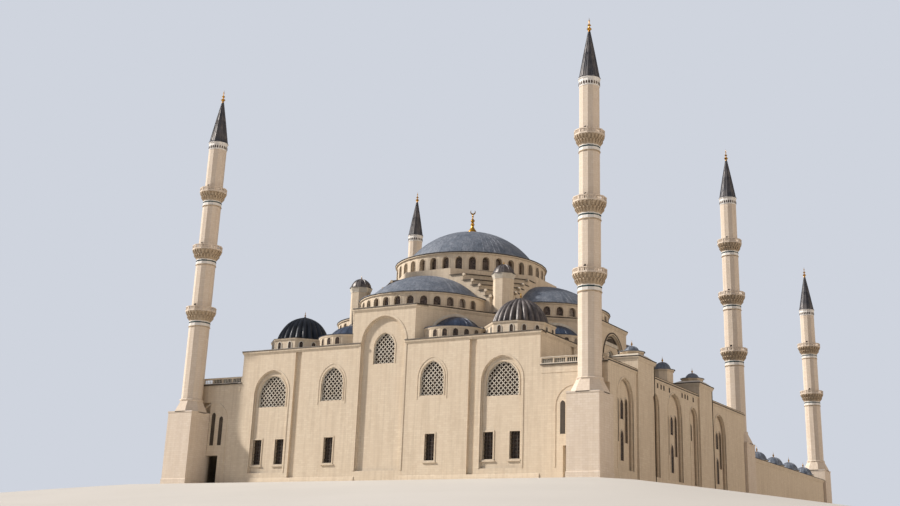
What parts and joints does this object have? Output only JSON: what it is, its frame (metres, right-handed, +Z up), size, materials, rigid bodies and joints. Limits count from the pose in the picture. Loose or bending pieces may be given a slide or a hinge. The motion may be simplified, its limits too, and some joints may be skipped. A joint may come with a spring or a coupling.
{
  "type": "domed mosque with minarets, scale model at 1:10",
  "caption": "Domed prayer hall in cascading half-domes with side galleries, a portico and arcaded courtyard, and tall minarets with balconies; scale model at 1:10.",
  "frame": {"origin": "on the ground under the centre of the main dome, on the underside of the prayer hall's floor", "axes": "+Z up, +Y from the prayer hall towards the courtyard and its gate, +X towards the hall's right side as seen from the front wall"},
  "size_m": [11.934, 20.132, 10.71],
  "materials": {
    "limestone": "matt",
    "lead": "satin",
    "dark_lead": "satin",
    "gilt": "polished",
    "paving": "matt"
  },
  "bodies": {
    "root": {"front_wall": "limestone", "entrance_wall": "limestone", "right_wall": "limestone", "left_wall": "limestone", "hall_floor": "paving", "corner_roof_front_right": "limestone", "corner_roof_rear_right": "limestone", "corner_roof_rear_left": "limestone", "corner_roof_front_left": "limestone", "ribbed_dome_front_right": "dark_lead", "ribbed_dome_rear_right": "dark_lead", "ribbed_dome_rear_left": "dark_lead", "ribbed_dome_front_left": "dark_lead", "pier_turret_front_right": "limestone", "pier_turret_rear_right": "limestone", "pier_turret_rear_left": "limestone", "pier_turret_front_left": "limestone", "apse_front": "limestone", "apse_right": "limestone", "apse_rear": "limestone", "apse_left": "limestone", "semi_dome_front": "lead", "semi_dome_right": "lead", "semi_dome_rear": "lead", "semi_dome_left": "lead", "exedra_front_right": "lead", "exedra_front_left": "lead", "exedra_right_right": "lead", "exedra_right_left": "lead", "exedra_rear_right": "lead", "exedra_rear_left": "lead", "exedra_left_right": "lead", "exedra_left_left": "lead", "stepped_base": "limestone", "main_drum": "limestone", "main_dome": "lead", "main_finial": "gilt", "side_gallery_right": "limestone", "side_gallery_left": "limestone", "prayer_portico": "limestone", "courtyard_range_right": "limestone", "courtyard_range_left": "limestone", "courtyard_arcade_right": "limestone", "courtyard_arcade_left": "limestone", "courtyard_roof_right": "limestone", "courtyard_roof_left": "limestone", "courtyard_floor": "paving", "courtyard_gate_range": "limestone", "minaret_tower_front_right": "limestone", "minaret_spire_front_right": "dark_lead", "minaret_tower_front_left": "limestone", "minaret_spire_front_left": "dark_lead", "minaret_tower_middle_right": "limestone", "minaret_spire_middle_right": "dark_lead", "minaret_tower_middle_left": "limestone", "minaret_spire_middle_left": "dark_lead", "minaret_tower_rear_right": "limestone", "minaret_spire_rear_right": "dark_lead", "minaret_tower_rear_left": "limestone", "minaret_spire_rear_left": "dark_lead"}
  },
  "joints": []
}
